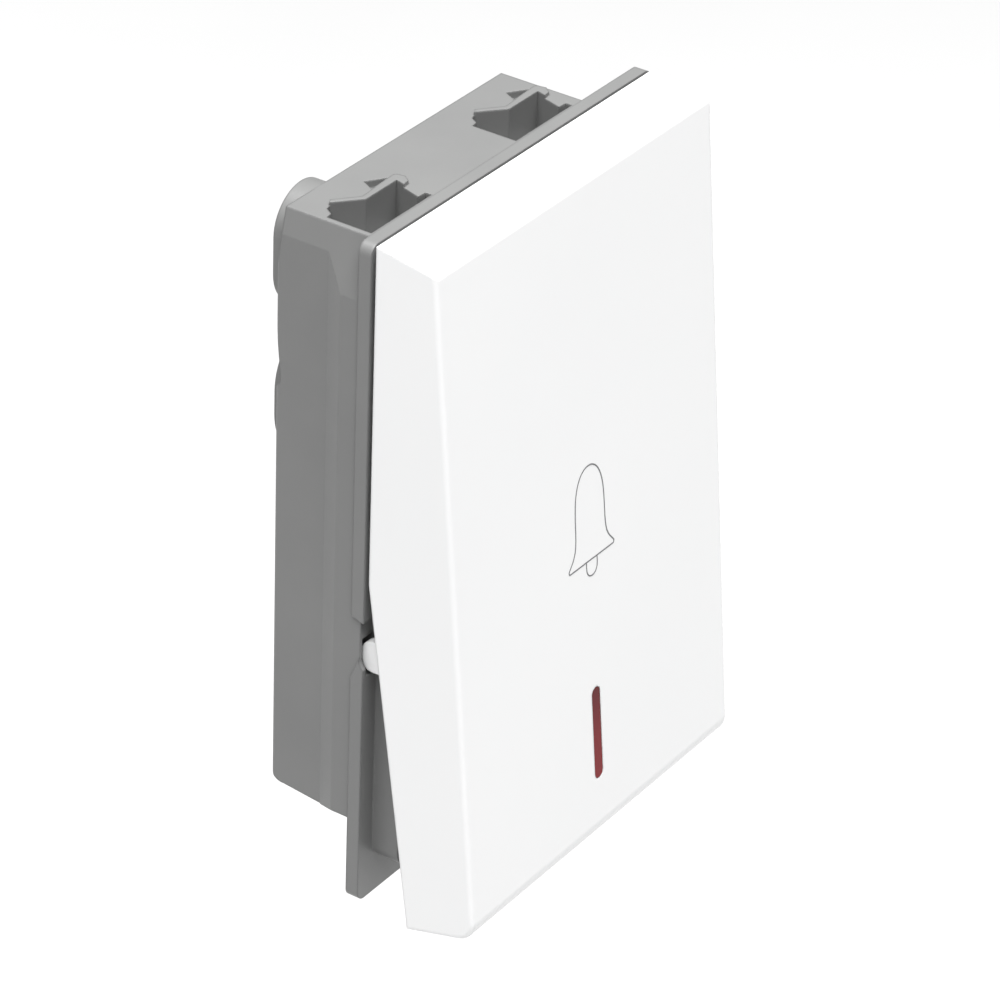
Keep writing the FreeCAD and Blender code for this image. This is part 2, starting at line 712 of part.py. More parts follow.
def catch_bar(s, x0, sg):
    pts = [(4.45, 5.4), (9.05, 5.4), (8.75, 4.4), (9.6, 4.5), (10.15, 5.2), (10.0, 6.0),
           (9.6, 6.5), (6.4, 6.1), (4.6, 6.0), (2.3, 7.9), (1.85, 7.6)]
    poly(s, [((x0 + a) if sg > 0 else -(x0 + a), c) for a, c in pts])


cut_top = top_z - rec_d
x_l = Q.of(-20.25)
add(fr, "bars_top", "xy", top_z - 0.2, top_z + bar_h, lambda s: (
    catch_bar(s, x_l, 1), catch_bar(s, x_l + rec_s1, 1)))
add(fr, "bars_bottom", "xy", -top_z - bar_h, -top_z + 0.2, lambda s: (
    catch_bar(s, x_l, -1), catch_bar(s, x_l + rec_s2, -1)))
cut(fr, "catch_top", "xy", cut_top, top_z + 0.5, lambda s: (
    catch(s, x_l, 1), catch(s, x_l + rec_s1, 1)))
cut(fr, "catch_bottom", "xy", -top_z - 0.5, -cut_top, lambda s: (
    catch(s, x_l, -1), catch(s, x_l + rec_s2, -1)))
cut(fr, "wedge_top", "xy", top_z - 0.8, top_z + 0.5, lambda s: (
    catch_wedge(s, x_l, 1), catch_wedge(s, x_l + rec_s1, 1)))
cut(fr, "wedge_bottom", "xy", -top_z - 0.5, -top_z + 0.8, lambda s: (
    catch_wedge(s, x_l, -1), catch_wedge(s, x_l + rec_s2, -1)))
keep(fr, "body_frame")

# -------------------------------------------------------------- rear cover
rc = body("rear_cover")
g = gap_c
add(rc, "plate", "xz", cov_a, cov_b, lambda s: poly(s, [
    (-cham_x + g, cham_z - g), (cham_t - g, cham_z - g), (cham_t - g, cham_s - g),
    (cham_x - g, cham_s - g), (cham_x - g, -cham_z + g), (-cham_b + g, -cham_z + g),
    (-cham_b + g, -cham_s + g), (-cham_x + g, -cham_s + g)]))
cut(rc, "tower_gaps", "xz", cov_a - 0.1, cov_b + 0.1, lambda s: (
    slot(s, -term_ox, term_oz, term_oz + tower_s, tower_r + 0.2),
    slot(s, term_ox, -term_oz - tower_s, -term_oz, tower_r + 0.2)))
add(rc, "bosses", "xz", cov_b - 0.1, tower_y, lambda s: (
    slot(s, -term_ix, boss_lo, boss_hi, boss_r), slot(s, term_ix, -boss_hi, -boss_lo, boss_r)))
cut(rc, "boss_bores", "xz", cov_a - 0.1, tower_y + 0.2, lambda s: (
    slot(s, -term_ix, boss_lo, boss_hi, boss_i), slot(s, term_ix, -boss_hi, -boss_lo, boss_i)))
cut(rc, "screw_holes", "xz", cov_a - 0.1, cov_b + 0.1, lambda s: (
    circ(s, -scr_x, -scr_z, 1.3), circ(s, scr_x, scr_z, 1.3)))
cut(rc, "spring_seat", "xz", cov_a - 0.1, cov_a + 0.3, lambda s: circ(s, 0, -spr_z, 2.2))
add(rc, "stiffening_ribs", "xz", cov_b - 0.1, cov_b + 0.8, lambda s: (
    rect(s, -5.4, -27.0, -4.4, 27.0), rect(s, 4.4, -27.0, 5.4, 27.0)))
keep(rc, "rear_cover")

# ------------------------------------- key, carrier and lens, which tilt together
ROT = FreeCAD.Rotation(V(1, 0, 0), -tilt.v)


def tilted(b):
    b.Placement = FreeCAD.Placement(V(0, hinge_y.v, 0), ROT)
    b.setExpression("Placement.Base.y", hinge_y.e)
    b.setExpression("Placement.Rotation.Angle", (-tilt).e)


ky = body("rocker_key")
add(ky, "outside", "yz", -key_x, key_x, lambda s: poly(s, [
    (-4.246, 35.357), (-key_f, 33.66), (-key_f, -35.49), (-2.816, -36.73), (-0.963, 0.411)]))
blend(ky, "bottom_rounding", key_rb, lambda p, q, e: (
    near(p.y, -10.53) and near(q.y, -10.53) and near(p.z, -35.49) and near(q.z, -35.49)))
blend(ky, "face_rounding", key_r, lambda p, q, e: (
    near(p.y, -10.53) and near(q.y, -10.53) and (
        (near(p.x, q.x) and near(abs(p.x), 22.35)) or (near(p.z, 33.66) and near(q.z, 33.66)))))
cut(ky, "inside", "yz", -key_x + key_w, key_x - key_w, lambda s: poly(s, [
    (1.0, 35.2), (-key_i, 32.55), (-key_i, -34.1), (1.0, -35.7)]))
add(ky, "lens_collar", "xz", -key_i - 0.1, -7.4,
    lambda s: rect(s, -slot_x - 3.1, -30.9, -slot_x + 3.1, -17.2))
cut(ky, "lens_collar_inside", "xz", -key_i, -7.3,
    lambda s: rect(s, -slot_x - 1.9, -29.9, -slot_x + 1.9, -18.2))
cut(ky, "indicator_slot", "xz", -key_f - 0.1, -key_i + 0.2,
    lambda s: slot(s, -slot_x, -slot_b, -slot_a, slot_r))
add(ky, "standoffs", "xz", -key_i - 0.1, -car_a, lambda s: (
    circ(s, -15.5, 19.0, 1.5), circ(s, 15.5, 19.0, 1.5),
    circ(s, -15.5, -10.0, 1.5), circ(s, 15.5, -10.0, 1.5)))
add(ky, "hook_arms", "xz", -key_i - 0.1, -4.2, lambda s: (
    rect(s, -14.2, 13.7, -10.2, 14.9), rect(s, 10.2, 13.7, 14.2, 14.9),
    rect(s, -14.2, -13.4, -10.2, -12.2), rect(s, 10.2, -13.4, 14.2, -12.2)))
add(ky, "hook_barbs", "xz", -4.95, -4.2, lambda s: (
    rect(s, -14.2, 14.8, -10.2, 15.7), rect(s, 10.2, 14.8, 14.2, 15.7),
    rect(s, -14.2, -14.2, -10.2, -13.3), rect(s, 10.2, -14.2, 14.2, -13.3)))


def lug(s):
    poly(s, [(-2.4, -6.25), (0.0, -6.18), (0.28, -6.27), (0.6, -6.55), (0.85, -6.95),
             (0.95, -7.5), (0.99, -8.2), (0.94, -8.65), (0.75, -9.05), (0.4, -9.34),
             (-0.06, -9.45), (-2.4, -9.62)])


add(ky, "lug_left", "yz", -21.65, -20.8, lug)
add(ky, "lug_right", "yz", 20.8, 21.65, lug)
tilted(ky)
keep(ky, "rocker_key")

cr = body("key_carrier")
add(cr, "plate", "xz", -car_a, -car_b, lambda s: rounded(s, -car_x, -15.5, car_x, 24.0, 1.0))
add(cr, "ears", "yz", 16.3, 18.2, lambda s: flat_slot(s, -5.6, 0, 0, 1.5))
add(cr, "ears_left", "yz", -18.2, -16.3, lambda s: flat_slot(s, -5.6, 0, 0, 1.5))
add(cr, "trunnion_right", "yz", 18.1, 20.6, lambda s: circ(s, 0, 0, trun_r))
add(cr, "trunnion_left", "yz", -20.6, -18.1, lambda s: circ(s, 0, 0, trun_r))
cut(cr, "hook_windows", "xz", -car_a - 0.1, -car_b + 0.1, lambda s: (
    rect(s, -14.4, 13.5, -10.0, 15.1), rect(s, 10.0, 13.5, 14.4, 15.1),
    rect(s, -14.4, -13.6, -10.0, -12.0), rect(s, 10.0, -13.6, 14.4, -12.0)))
add(cr, "pusher", "xz", -car_b - 0.1, -1.17, lambda s: circ(s, 0, -9.16, 1.6))
blend(cr, "pusher_rounding", 0.9, lambda p, q, e: (
    near(p.y, -1.17) and near(q.y, -1.17) and e.Curve.TypeId == "Part::GeomCircle"))
add(cr, "spring_studs", "xz", -car_b - 0.1, -3.6, lambda s: (
    circ(s, -spr_x, -9.16, 1.5), circ(s, spr_x, -9.16, 1.5)))
add(cr, "rest_feet", "xz", -car_b - 0.1, -0.55, lambda s: (
    circ(s, -12.0, 22.0, 1.4), circ(s, 12.0, 22.0, 1.4)))
tilted(cr)
keep(cr, "key_carrier")

ln = body("indicator_lens")
add(ln, "blade", "xz", -10.5, -8.7,
    lambda s: slot(s, -slot_x, -slot_b, -slot_a, slot_r - lens_g))
add(ln, "shoulder", "xz", -8.78, -7.9,
    lambda s: rect(s, -slot_x - 1.8, -29.8, -slot_x + 1.8, -18.3))
add(ln, "light_pipe", "xz", -8.0, -5.6,
    lambda s: rect(s, -slot_x - 1.2, -29.1, -slot_x + 1.2, -19.0))
tilted(ln)
keep(ln, "indicator_lens")

# ------------------------------------------------- plunger and moving contact
pl_ = body("plunger")
add(pl_, "stem", "xz", -1.4, 3.8, lambda s: circ(s, 0, -spr_z, plg_r))
blend(pl_, "stem_rounding", 0.8, lambda p, q, e: (
    near(p.y, -1.4) and near(q.y, -1.4)))
add(pl_, "shoulder", "xz", 3.7, 4.1, lambda s: circ(s, 0, -spr_z, 2.5))
add(pl_, "neck", "xz", 4.0, 5.6, lambda s: circ(s, 0, -spr_z, 1.3))
keep(pl_, "plunger")

br = body("contact_bridge")
add(br, "leaf", "xz", 4.12, 4.5, lambda s: rounded(
    s, -5.8, -spr_z - 1.5, 5.8, -spr_z + 1.5, 1.2))
cut(br, "neck_hole", "xz", 4.0, 4.6, lambda s: circ(s, 0, -spr_z, 1.33))
keep(br, "contact_bridge")

group("moving_contact_tips", [
    rod_y("moving_tip_a", -tip_x, -spr_z, 4.5, 4.9, tip_r),
    rod_y("moving_tip_b", tip_x, -spr_z, 4.5, 4.9, tip_r)])

# ------------------------------------------------------------ fixed contacts
sa = body("contact_strip_left")
add(sa, "strip", "xz", str_a, str_b, lambda s: poly(s, [
    (-18.9, 29.6), (-13.1, 29.6), (-13.1, 24.6), (-15.9, 24.6), (-15.9, 14.95), (-10.8, 14.95),
    (-10.8, 9.15), (-12.9, 9.15), (-12.9, -7.4), (-2.9, -7.4), (-2.9, -10.6), (-6.8, -10.6),
    (-6.8, -25.0), (-2.9, -25.0), (-2.9, -28.0), (-9.6, -28.0), (-9.6, -10.6), (-15.9, -10.6),
    (-15.9, 9.15), (-18.9, 9.15)]))
cut(sa, "screw_holes", "xz", str_a - 0.1, str_b + 0.1, lambda s: (
    circ(s, -term_ox, term_oz, 1.6), circ(s, -term_ix, term_iz, 1.6)))
keep(sa, "contact_strip_left")

sb = body("contact_strip_right")
add(sb, "strip", "xz", str_a, str_b, lambda s: poly(s, [
    (2.9, -7.4), (18.9, -7.4), (18.9, -29.6), (13.1, -29.6), (13.1, -28.0), (2.9, -28.0),
    (2.9, -25.0), (15.9, -25.0), (15.9, -14.95), (10.8, -14.95), (10.8, -10.6), (2.9, -10.6)]))
cut(sb, "screw_holes", "xz", str_a - 0.1, str_b + 0.1, lambda s: (
    circ(s, term_ox, -term_oz, 1.6), circ(s, term_ix, -term_iz, 1.6)))
keep(sb, "contact_strip_right")

group("fixed_contact_tips", [
    rod_y("fixed_tip_a", -tip_x, -spr_z, str_a - 0.5, str_a, tip_r),
    rod_y("fixed_tip_b", tip_x, -spr_z, str_a - 0.5, str_a, tip_r)])

# ---------------------------------------------------------------- terminals
spots = [("a", -term_ox, term_oz), ("b", -term_ix, term_iz),
         ("c", term_ix, -term_iz), ("d", term_ox, -term_oz)]
screws, nuts, washers = [], [], []
for k, x, z in spots:
    shank = rod_y("shank_" + k, x, z, 4.9, 10.0, shank_r)
    head = rod_y("head_" + k, x, z, 9.9, 11.7, head_r)
    drive = box("drive_" + k, x - 3.0, x + 3.0, 10.9, 11.9, z - 0.4, z + 0.4)
    screws.append(minus("screw_" + k, fuse("screw_blank_" + k, [shank, head]), drive))
    blank = box("nut_blank_" + k, x - nut_w / 2, x + nut_w / 2, 4.65, 6.65,
                z - nut_w / 2, z + nut_w / 2)
    nuts.append(minus("nut_" + k, blank, rod_y("nut_bore_" + k, x, z, 4.0, 7.0, shank_r + 0.03)))
    disc = rod_y("washer_blank_" + k, x, z, 9.2, 9.9, wash_r)
    washers.append(minus("washer_" + k, disc, rod_y("washer_bore_" + k, x, z, 9.0, 10.0,
                                                    shank_r + 0.1)))
group("terminal_screws", screws)
group("terminal_nuts", nuts)
group("clamp_washers", washers)

cover_screws = []
for k, x, z in (("e", -scr_x, -scr_z), ("f", scr_x, scr_z)):
    shank = rod_y("cover_shank_" + k, x, z, 4.6, 8.9, 0.84)
    head = rod_y("cover_head_" + k, x, z, 8.82, 10.2, 2.1)
    slot_a1 = box("cover_drive_a_" + k, x - 1.4, x + 1.4, 9.5, 10.4, z - 0.3, z + 0.3)
    slot_a2 = box("cover_drive_b_" + k, x - 0.3, x + 0.3, 9.5, 10.4, z - 1.4, z + 1.4)
    cover_screws.append(minus("cover_screw_" + k, fuse("cover_blank_" + k, [shank, head]),
                              fuse("cover_drive_" + k, [slot_a1, slot_a2])))
group("cover_screws", cover_screws)

# --------------------------------------------------------------------- lamp
bd = body("lamp_board")
add(bd, "board", "xz", 1.35, 2.35, lambda s: rect(s, -6.0, -29.0, 6.0, -14.5))
cut(bd, "lead_holes", "xz", 1.2, 2.5, lambda s: (
    circ(s, -0.7, -15.6, 0.3), circ(s, 0.7, -15.6, 0.3),
    circ(s, 3.9, -25.2, 0.27), circ(s, 3.9, -17.2, 0.27)))
keep(bd, "lamp_board")

lamp_y = size("lamp_y", -0.9, "lamp tube axis")
lamp_r = size("lamp_radius", 2.0, "lamp tube")
glass = fuse("glass_outside", [
    rod_z("glass_o", 0, lamp_y, -26.6, -18.9, lamp_r),
    ball("glass_o1", 0, lamp_y, -26.6, lamp_r), ball("glass_o2", 0, lamp_y, -18.9, lamp_r)])
hollow = fuse("glass_inside", [
    rod_z("glass_i", 0, lamp_y, -26.6, -18.9, lamp_r - 0.35),
    ball("glass_i1", 0, lamp_y, -26.6, lamp_r - 0.35),
    ball("glass_i2", 0, lamp_y, -18.9, lamp_r - 0.35),
    rod_z("lead_way_1", -0.7, lamp_y, -18.9, -16.5, 0.27),
    rod_z("lead_way_2", 0.7, lamp_y, -18.9, -16.5, 0.27)])
keep(minus("lamp_tube", glass, hollow), "lamp_tube")

leads = []
for k, x in (("1", -0.7), ("2", 0.7)):
    leads.append(fuse("lead_" + k, [
        rod_z("electrode_" + k, x, lamp_y, -25.5, -19.5, 0.45),
        rod_z("lead_up_" + k, x, lamp_y, -19.6, -15.6, 0.25),
        ball("lead_bend_" + k, x, lamp_y, -15.6, 0.25),
        rod_y("lead_back_" + k, x, -15.6, lamp_y, 2.3, 0.25)]))
group("lamp_electrodes", leads)

cradle = box("holder_block", -2.7, 2.7, -0.4, 1.33, -25.4, -20.1)
keep(minus("lamp_holder", cradle, rod_z("holder_bore", 0, lamp_y, -26.0, -19.5, lamp_r + 0.03)),
     "lamp_holder")

keep(fuse("lamp_resistor", [
    rod_z("resistor_body", 3.9, 0.3, -24.0, -18.4, 1.0),
    rod_z("resistor_lead", 3.9, 0.3, -25.2, -17.2, 0.22),
    ball("resistor_bend_1", 3.9, 0.3, -25.2, 0.22), ball("resistor_bend_2", 3.9, 0.3, -17.2, 0.22),
    rod_y("resistor_leg_1", 3.9, -25.2, 0.3, 2.3, 0.22),
    rod_y("resistor_leg_2", 3.9, -17.2, 0.3, 2.3, 0.22)]), "lamp_resistor")


# ------------------------------------------------------------------ springs
def coil(name, x, z, y0, y1, mean, wire, turns):
    """A compression spring along +Y between y0 and y1."""
    x, z, y0, y1, mean, wire = [Q.of(k) for k in (x, z, y0, y1, mean, wire)]
    b = body(name)
    sk = sketch(b, name + "_wire", "XZ_Plane", 0)
    circ(sk, mean, wire / 2, wire / 2)
    h = b.newObject("PartDesign::AdditiveHelix", name + "_helix")
    h.Profile = sk
    h.ReferenceAxis = (sk, ["V_Axis"])
    h.Mode = 0
    pitch = (y1 - y0 - wire) / turns
    h.Pitch = pitch.v
    h.Height = (y1 - y0 - wire).v
    h.Growth = 0
    h.Angle = 0
    h.setExpression("Pitch", pitch.e)
    h.setExpression("Height", (y1 - y0 - wire).e)
    b.Placement = FreeCAD.Placement(V(0, 0, 0), FreeCAD.Rotation(V(1, 0, 0), -90))
    place(b, x, y0, z)
    doc.recompute()
    return b


group("return_springs", [
    coil("return_spring_a", -spr_x, -spr_z, -4.95, 2.38, 2.25, 0.5, 6.0),
    coil("return_spring_b", spr_x, -spr_z, -4.95, 2.38, 2.25, 0.5, 6.0)])
keep(coil("contact_spring", 0, -spr_z, 4.52, 7.68, 1.72, 0.35, 5.0), "contact_spring")
group("lamp_contact_springs", [
    coil("lamp_spring_a", -4.5, -26.5, 2.37, 6.68, 1.1, 0.3, 6.0),
    coil("lamp_spring_b", 4.5, -26.5, 2.37, 6.68, 1.1, 0.3, 6.0)])

# ------------------------------------------------------- checks and export
doc.recompute()
for o in doc.Objects:
    bad = [s for s in o.State if "Invalid" in s or "Error" in s]
    if bad:
        raise RuntimeError("%s: %s" % (o.Name, bad))
os.makedirs("parts", exist_ok=True)
for o in PARTS:
    s = o.Shape
    if s.isNull() or not s.isValid() or not s.Solids:
        raise RuntimeError("bad shape " + o.Label)
    for one in s.Solids:
        if not one.isValid() or one.Volume <= 0:
            raise RuntimeError("bad solid in " + o.Label)
    s.exportStep(os.path.join("parts", o.Label + ".step"))
    bb = s.BoundBox
    print("%-22s solids %d vol %9.2f  x %.2f %.2f  y %.2f %.2f  z %.2f %.2f" % (
        o.Label, len(s.Solids), s.Volume, bb.XMin, bb.XMax, bb.YMin, bb.YMax, bb.ZMin, bb.ZMax))
print("parts", len(PARTS))
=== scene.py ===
import math
import bpy
from mathutils import Matrix, Vector


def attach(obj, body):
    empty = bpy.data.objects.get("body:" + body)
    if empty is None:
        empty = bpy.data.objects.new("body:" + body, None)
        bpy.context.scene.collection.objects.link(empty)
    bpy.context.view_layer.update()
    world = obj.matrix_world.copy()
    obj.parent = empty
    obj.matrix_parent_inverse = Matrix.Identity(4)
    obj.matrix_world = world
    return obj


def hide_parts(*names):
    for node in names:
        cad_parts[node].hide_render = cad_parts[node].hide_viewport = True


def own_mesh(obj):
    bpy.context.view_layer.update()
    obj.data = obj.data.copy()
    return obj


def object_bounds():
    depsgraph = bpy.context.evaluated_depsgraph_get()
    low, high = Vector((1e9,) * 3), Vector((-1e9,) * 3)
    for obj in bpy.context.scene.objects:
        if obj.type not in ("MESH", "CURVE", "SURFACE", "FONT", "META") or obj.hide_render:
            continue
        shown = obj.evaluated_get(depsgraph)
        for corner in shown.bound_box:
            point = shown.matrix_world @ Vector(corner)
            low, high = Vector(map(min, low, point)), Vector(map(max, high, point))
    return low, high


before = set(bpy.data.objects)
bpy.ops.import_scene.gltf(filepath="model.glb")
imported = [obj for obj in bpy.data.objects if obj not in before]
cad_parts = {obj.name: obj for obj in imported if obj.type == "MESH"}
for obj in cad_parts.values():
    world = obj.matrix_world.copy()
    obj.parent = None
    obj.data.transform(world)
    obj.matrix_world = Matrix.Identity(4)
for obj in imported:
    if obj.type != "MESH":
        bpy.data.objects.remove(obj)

CAD_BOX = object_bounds()

# ---------------------------------------------------------------- node helpers


class Tree:
    """A small builder for a material's node tree."""

    def __init__(self, name):
        self.mat = bpy.data.materials.new(name)
        self.mat.use_nodes = True
        self.t = self.mat.node_tree
        self.t.nodes.clear()
        self.out = self.t.nodes.new("ShaderNodeOutputMaterial")
        self.bsdf = self.t.nodes.new("ShaderNodeBsdfPrincipled")
        self.t.links.new(self.bsdf.outputs["BSDF"], self.out.inputs["Surface"])
        self.co = self.t.nodes.new("ShaderNodeTexCoord").outputs["Object"]

    def node(self, kind, **values):
        n = self.t.nodes.new("ShaderNode" + kind)
        for k, v in values.items():
            if hasattr(n, k):
                setattr(n, k, v)
            else:
                n.inputs[k.replace("_", " ")].default_value = v
        return n

    def link(self, a, b):
        self.t.links.new(a, b)

    def set(self, **values):
        for k, v in values.items():
            self.bsdf.inputs[k.replace("_", " ")].default_value = v

    def noise(self, scale, detail=4.0, rough=0.55, stretch=None):
        co = self.co
        if stretch:
            m = self.node("Mapping")
            m.inputs["Scale"].default_value = stretch
            self.link(co, m.inputs["Vector"])
            co = m.outputs["Vector"]
        n = self.node("TexNoise", Scale=scale, Detail=detail, Roughness=rough)
        self.link(co, n.inputs["Vector"])
        return n.outputs["Fac"]

    def ramp(self, fac, stops):
        r = self.node("ValToRGB")
        els = r.color_ramp.elements
        while len(els) < len(stops):
            els.new(0.5)
        for e, (p, c) in zip(els, stops):
            e.position = p
            e.color = (*c, 1.0) if len(c) == 3 else c
        self.link(fac, r.inputs["Fac"])
        return r.outputs["Color"]

    def spread(self, fac, lo, hi):
        m = self.node("MapRange")
        m.inputs["To Min"].default_value = lo
        m.inputs["To Max"].default_value = hi
        self.link(fac, m.inputs["Value"])
        return m.outputs["Result"]

    def relief(self, fac, strength, distance, edge=None):
        b = self.node("Bump", Strength=strength, Distance=distance)
        self.link(fac, b.inputs["Height"])
        if edge:
            v = self.node("Bevel", samples=4, Radius=edge)
            self.link(v.outputs["Normal"], b.inputs["Normal"])
        self.link(b.outputs["Normal"], self.bsdf.inputs["Normal"])


def moulded(name, dark, light, rough, grain, strength, edge, coat=0.0, spec=0.5):
    """Injection-moulded plastic: faint flow clouds, spark-eroded grain, soft edges."""
    m = Tree(name)
    clouds = m.noise(60.0, 5.0, 0.6)
    m.link(m.ramp(clouds, [(0.3, dark), (0.7, light)]), m.bsdf.inputs["Base Color"])
    fine = m.noise(grain, 3.0, 0.6)
    m.link(m.spread(fine, rough - 0.05, rough + 0.06), m.bsdf.inputs["Roughness"])
    m.relief(fine, strength, 0.00003, edge)
    m.set(Coat_Weight=coat, Coat_Roughness=0.06, Specular_IOR_Level=spec)
    return m.mat


def metal(name, dark, light, rough, stretch):
    """Drawn or stamped metal with fine lines and a slightly uneven finish."""
    m = Tree(name)
    lines = m.noise(900.0, 4.0, 0.65, stretch)
    stain = m.noise(180.0, 4.0, 0.6)
    m.link(m.ramp(stain, [(0.3, dark), (0.7, light)]), m.bsdf.inputs["Base Color"])
    m.link(m.spread(lines, rough - 0.08, rough + 0.12), m.bsdf.inputs["Roughness"])
    m.relief(lines, 0.25, 0.00003, 0.00008)
    m.set(Metallic=1.0)
    return m.mat


grey = moulded("grey_satin_moulding", (0.163, 0.164, 0.163), (0.180, 0.181, 0.179),
               0.38, 5200.0, 0.22, 0.0003)
cover_grey = moulded("cover_moulding", (0.158, 0.159, 0.158), (0.178, 0.179, 0.177),
                     0.46, 4800.0, 0.25, 0.0002)
carrier_grey = moulded("carrier_moulding", (0.15, 0.15, 0.154), (0.172, 0.172, 0.176),
                       0.5, 4800.0, 0.25, 0.00015)
natural = moulded("plunger_moulding", (0.60, 0.56, 0.46), (0.68, 0.64, 0.55),
                  0.4, 5200.0, 0.2, 0.0001)
holder = moulded("lamp_holder_moulding", (0.66, 0.66, 0.62), (0.74, 0.74, 0.70),
                 0.45, 5200.0, 0.2, 0.0001)

# glossy white key: almost no grain, a very slight waviness in the polish
k = Tree("white_gloss_key")
cloud = k.noise(26.0, 3.0, 0.5)
k.link(k.ramp(cloud, [(0.3, (0.812, 0.814, 0.816)), (0.7, (0.830, 0.831, 0.832))]),
       k.bsdf.inputs["Base Color"])
wave = k.noise(90.0, 2.0, 0.4)
k.link(k.spread(wave, 0.16, 0.22), k.bsdf.inputs["Roughness"])
k.relief(wave, 0.04, 0.00005, 0.0003)
k.set(Coat_Weight=0.25, Coat_Roughness=0.05, Specular_IOR_Level=0.45)
white = k.mat

# dark red lens: deeper towards its upper end, with a fine moulded haze
r = Tree("red_lens")
sep = r.node("SeparateXYZ")
r.link(r.co, sep.inputs["Vector"])
along = r.node("MapRange")
along.inputs["From Min"].default_value = -0.0295
along.inputs["From Max"].default_value = -0.0180
r.link(sep.outputs["Z"], along.inputs["Value"])
r.link(r.ramp(along.outputs["Result"], [
    (0.0, (0.215, 0.016, 0.019)), (0.55, (0.185, 0.012, 0.015)), (1.0, (0.11, 0.008, 0.010))]),
    r.bsdf.inputs["Base Color"])
haze = r.noise(2600.0, 3.0, 0.6)
r.link(r.spread(haze, 0.18, 0.3), r.bsdf.inputs["Roughness"])
r.relief(haze, 0.1, 0.00002, 0.00015)
r.set(Transmission_Weight=0.03, Specular_IOR_Level=0.12)
red = r.mat

brass = metal("stamped_brass", (0.60, 0.40, 0.16), (0.72, 0.50, 0.22), 0.3, (1.0, 1.0, 0.08))
zinc = metal("zinc_plated_steel", (0.50, 0.51, 0.52), (0.62, 0.63, 0.64), 0.32, (0.2, 1.0, 1.0))
spring_wire = metal("spring_wire", (0.42, 0.42, 0.43), (0.54, 0.54, 0.55), 0.26, (1.0, 0.2, 1.0))
silver = metal("silver_contact", (0.78, 0.77, 0.75), (0.86, 0.85, 0.83), 0.24, (1.0, 1.0, 1.0))
board = moulded("paper_laminate", (0.16, 0.075, 0.03), (0.23, 0.115, 0.05), 0.5, 2600.0, 0.3,
                0.00005)
coat = moulded("resistor_lacquer", (0.42, 0.27, 0.13), (0.50, 0.33, 0.17), 0.3, 2600.0, 0.15,
               0.0001)

g = Tree("lamp_glass")
swirl = g.noise(300.0, 2.0, 0.4)
g.link(g.ramp(swirl, [(0.3, (0.92, 0.95, 0.95)), (0.7, (0.98, 1.0, 1.0))]),
       g.bsdf.inputs["Base Color"])
g.link(g.spread(swirl, 0.02, 0.05), g.bsdf.inputs["Roughness"])
g.relief(swirl, 0.05, 0.00003)
g.set(Transmission_Weight=0.96, IOR=1.47)
glass = g.mat

ink = Tree("printed_ink")
blot = ink.noise(9000.0, 3.0, 0.6)
ink.link(ink.ramp(blot, [(0.3, (0.120, 0.121, 0.126)), (0.7, (0.155, 0.156, 0.162))]),
         ink.bsdf.inputs["Base Color"])
ink.link(ink.spread(blot, 0.35, 0.5), ink.bsdf.inputs["Roughness"])
ink.relief(blot, 0.1, 0.00001)

LOOK = {
    "body_frame": grey, "rear_cover": cover_grey, "rocker_key": white,
    "key_carrier": carrier_grey, "indicator_lens": red, "plunger": natural,
    "contact_bridge": brass, "moving_contact_tips": silver,
    "contact_strip_left": brass, "contact_strip_right": brass,
    "fixed_contact_tips": silver, "terminal_screws": zinc, "terminal_nuts": zinc,
    "clamp_washers": zinc, "cover_screws": zinc, "lamp_board": board,
    "lamp_tube": glass, "lamp_electrodes": zinc, "lamp_holder": holder,
    "lamp_resistor": coat, "return_springs": spring_wire,
    "contact_spring": spring_wire, "lamp_contact_springs": spring_wire,
}
for name, mat in LOOK.items():
    o = bpy.data.objects.get(name)
    if o is None:
        raise RuntimeError("no node " + name)
    if not o.material_slots:
        o.data.materials.append(mat)
    for s in o.material_slots:
        s.material = mat

# ----------------------------------------------------- bell symbol on the key
TILT = math.radians(5.4)
HINGE = Vector((0.0, 0.0005, 0.0))
FACE = 0.01053
ON_FACE = Matrix.Translation(HINGE) @ Matrix.Rotation(-TILT, 4, "X")


def smooth(points, steps=8, closed=False):
    """Centripetal curve through the points, as a dense list."""
    out = []
    n = len(points)
    for i in range(n if closed else n - 1):
        p = [points[(i + j) % n] if closed else points[min(max(i + j, 0), n - 1)]
             for j in (-1, 0, 1, 2)]
        for s in range(steps):
            t = s / steps
            out.append(tuple(
                0.5 * (2 * p[1][a] + (p[2][a] - p[0][a]) * t
                       + (2 * p[0][a] - 5 * p[1][a] + 4 * p[2][a] - p[3][a]) * t * t
                       + (3 * p[1][a] - p[0][a] - 3 * p[2][a] + p[3][a]) * t ** 3)
                for a in (0, 1)))
    if not closed:
        out.append(points[-1])
    return out


